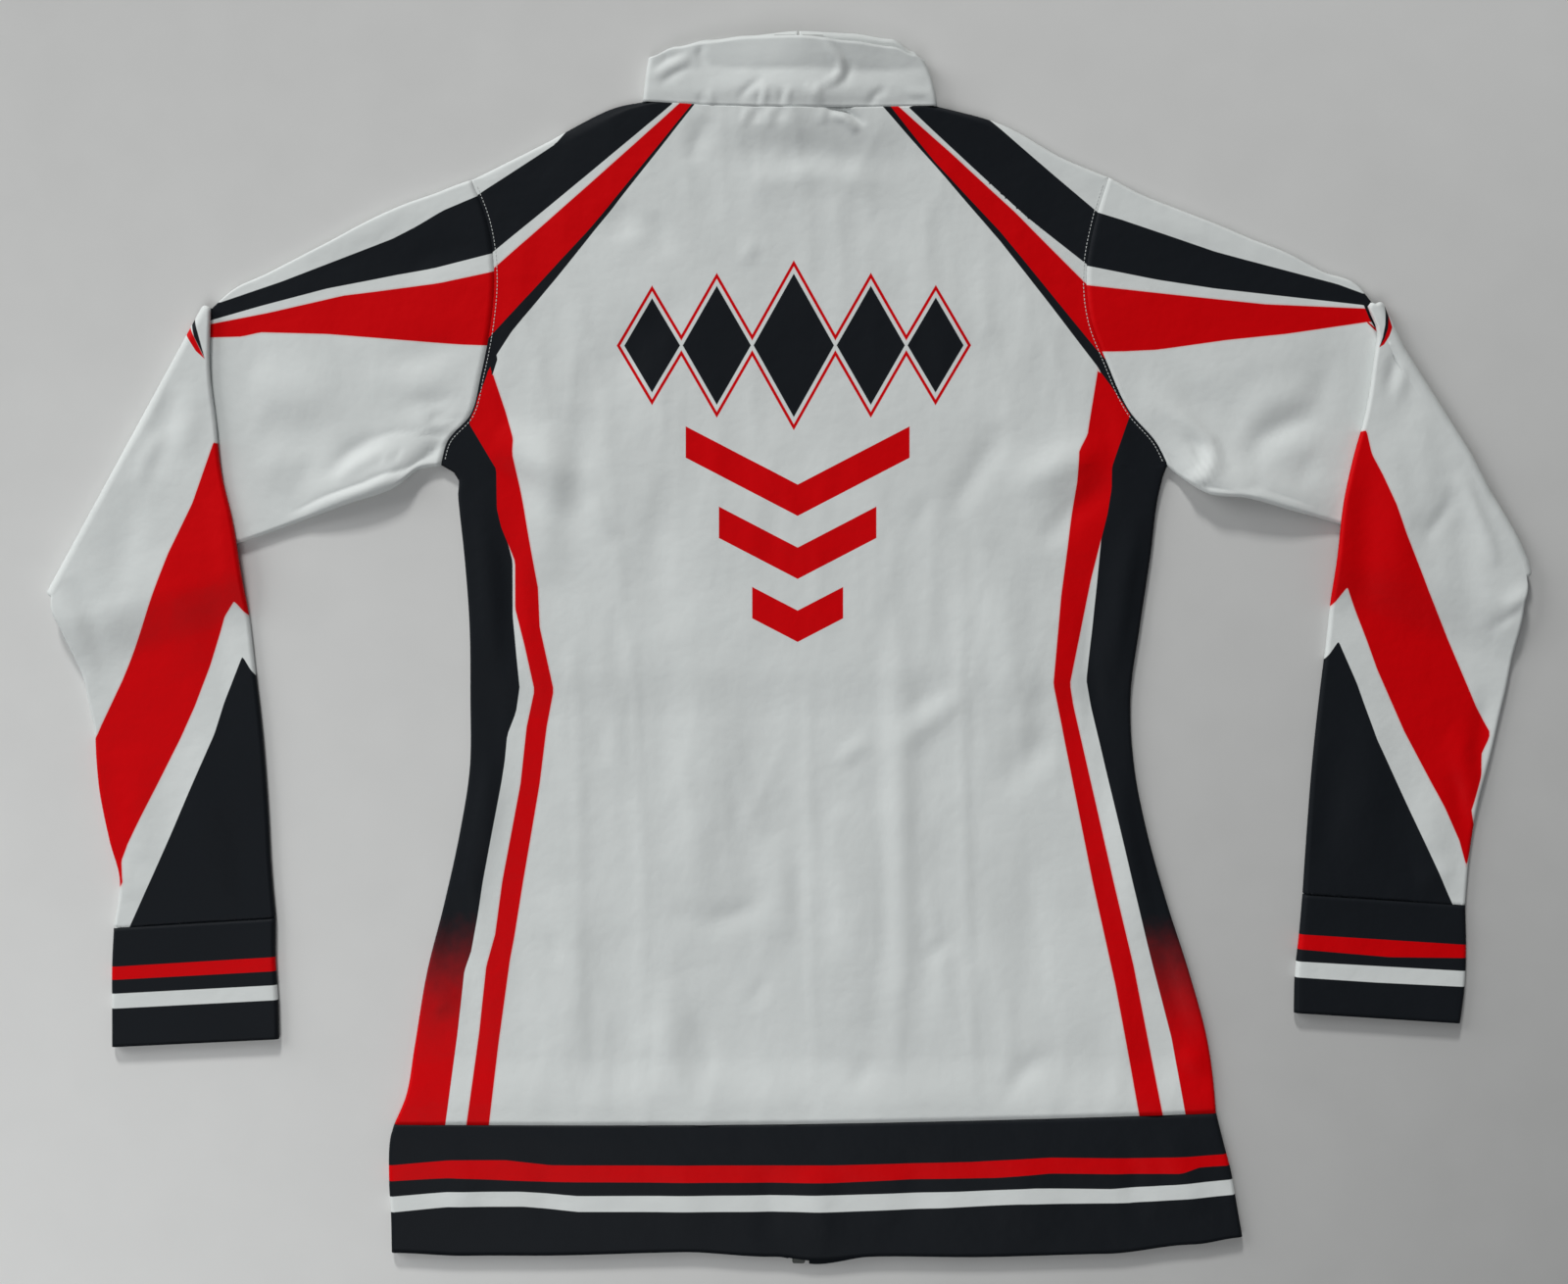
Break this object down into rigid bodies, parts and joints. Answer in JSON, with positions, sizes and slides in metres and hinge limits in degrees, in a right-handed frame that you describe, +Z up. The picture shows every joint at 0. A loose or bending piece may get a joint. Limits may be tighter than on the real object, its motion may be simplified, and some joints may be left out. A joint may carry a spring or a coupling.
{
  "type": "warm-up jacket laid flat",
  "caption": "Fitted knit warm-up jacket with stand collar and striped cuffs and hem band, laid face down with both sleeves folded over at the elbow.",
  "frame": {"origin": "centre of the bounding box's bottom face, on the table the jacket lies on", "axes": "+X to the wearer's right, across the jacket; +Y from the hem to the collar; +Z up from the table, out of the jacket's back"},
  "size_m": [0.8442, 0.7054, 0.0119],
  "materials": {
    "white_knit": "satin",
    "black_knit": "satin",
    "zip_tape": "matte",
    "zip_metal": "satin"
  },
  "bodies": {
    "jacket": {"back": "white_knit", "front_left": "white_knit", "front_right": "white_knit", "sleeve_left": "white_knit", "sleeve_right": "white_knit", "collar": "white_knit", "cuff_left": "black_knit", "cuff_right": "black_knit", "hem_band": "black_knit", "zip_tape_left": "zip_tape", "zip_tape_right": "zip_tape", "zip_box": "zip_metal", "zip_pin": "zip_metal", "zip_slider": "zip_metal"},
    "pull_tab": {"zip_pull_tab": "zip_metal"}
  },
  "joints": [
    {"name": "pull_tab_hinge", "type": "hinge", "parent": "jacket", "child": "pull_tab", "pos_m": [0.007, 0.34048, 0.0023], "axis": [1, 0, 0], "range_deg": [0, 165]}
  ]
}
